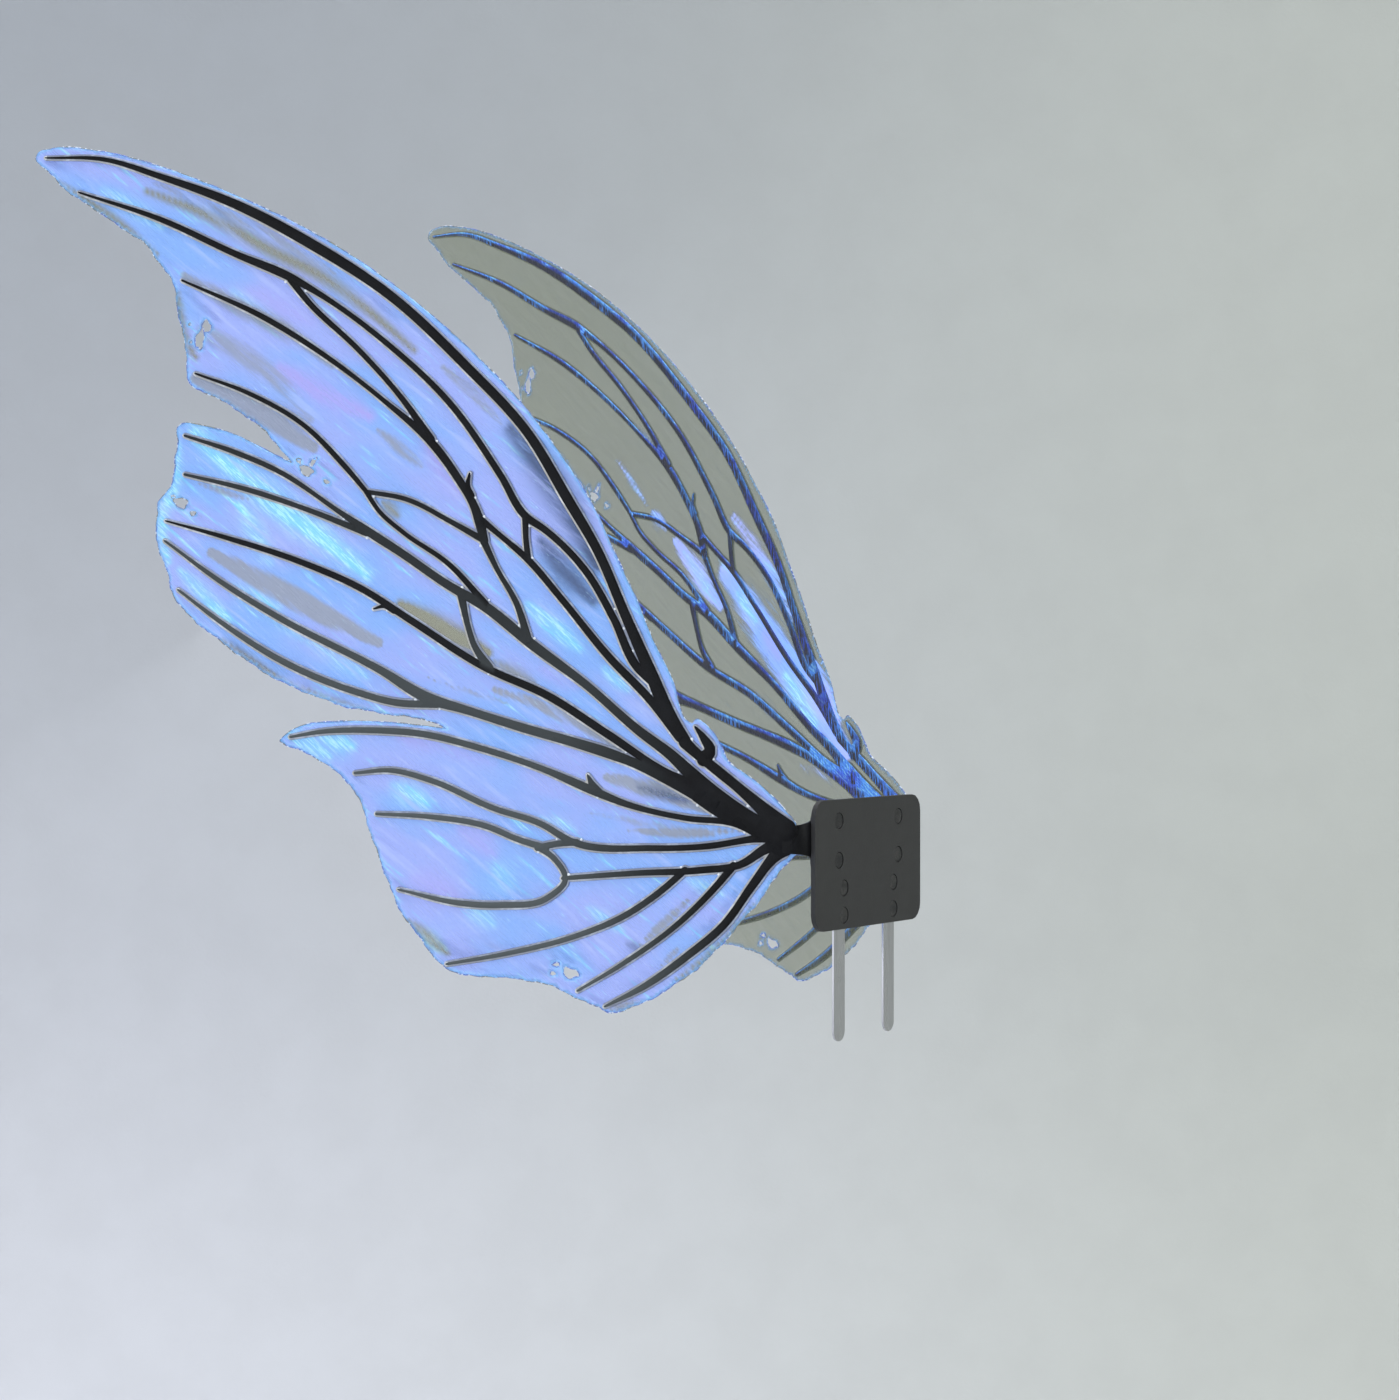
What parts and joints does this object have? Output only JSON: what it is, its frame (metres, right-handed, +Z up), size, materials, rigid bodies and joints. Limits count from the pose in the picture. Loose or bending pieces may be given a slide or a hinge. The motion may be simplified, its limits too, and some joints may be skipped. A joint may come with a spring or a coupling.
{
  "type": "fairy wings",
  "caption": "Pair of translucent insect-style costume wings: black branching vein frames backed with clear film, on springy bent necks clamped to a back plate.",
  "frame": {"origin": "on the back plate's front face, which lies on the wearer's back, midway between the two necks", "axes": "+X to the wearer's left, +Y behind the wearer, +Z up"},
  "size_m": [0.3974, 0.4807, 0.5419],
  "materials": {
    "black_sheet": "satin black sheet plastic",
    "clear_film": "clear film that shines blue, aqua and violet",
    "plate_black": "fine-textured black plastic",
    "black_oxide": "black oxide",
    "spring_steel": "brushed"
  },
  "bodies": {
    "base": {"back_plate": "plate_black", "right_neck": "black_sheet", "right_root_clamp": "plate_black", "right_stay": "spring_steel", "right_clamp_upper_post": "black_oxide", "right_clamp_upper_screw": "black_oxide", "right_clamp_lower_post": "black_oxide", "right_clamp_lower_screw": "black_oxide", "right_stay_upper_post": "black_oxide", "right_stay_upper_screw": "black_oxide", "right_stay_lower_post": "black_oxide", "right_stay_lower_screw": "black_oxide", "left_neck": "black_sheet", "left_root_clamp": "plate_black", "left_stay": "spring_steel", "left_clamp_upper_post": "black_oxide", "left_clamp_upper_screw": "black_oxide", "left_clamp_lower_post": "black_oxide", "left_clamp_lower_screw": "black_oxide", "left_stay_upper_post": "black_oxide", "left_stay_upper_screw": "black_oxide", "left_stay_lower_post": "black_oxide", "left_stay_lower_screw": "black_oxide"},
    "right_wing": {"right_vein_frame": "black_sheet", "right_film": "clear_film"},
    "left_wing": {"left_vein_frame": "black_sheet", "left_film": "clear_film"}
  },
  "joints": [
    {"name": "right_wing_flex", "type": "hinge", "parent": "base", "child": "right_wing", "pos_m": [-0.0757, 0.01053, 0.002], "axis": [0, 0, 1], "range_deg": [-15, 30], "stiffness_Nm_per_rad": 0.65},
    {"name": "left_wing_flex", "type": "hinge", "parent": "base", "child": "left_wing", "pos_m": [0.0757, 0.01053, 0.002], "axis": [0, 0, -1], "range_deg": [-15, 30], "stiffness_Nm_per_rad": 0.65}
  ]
}
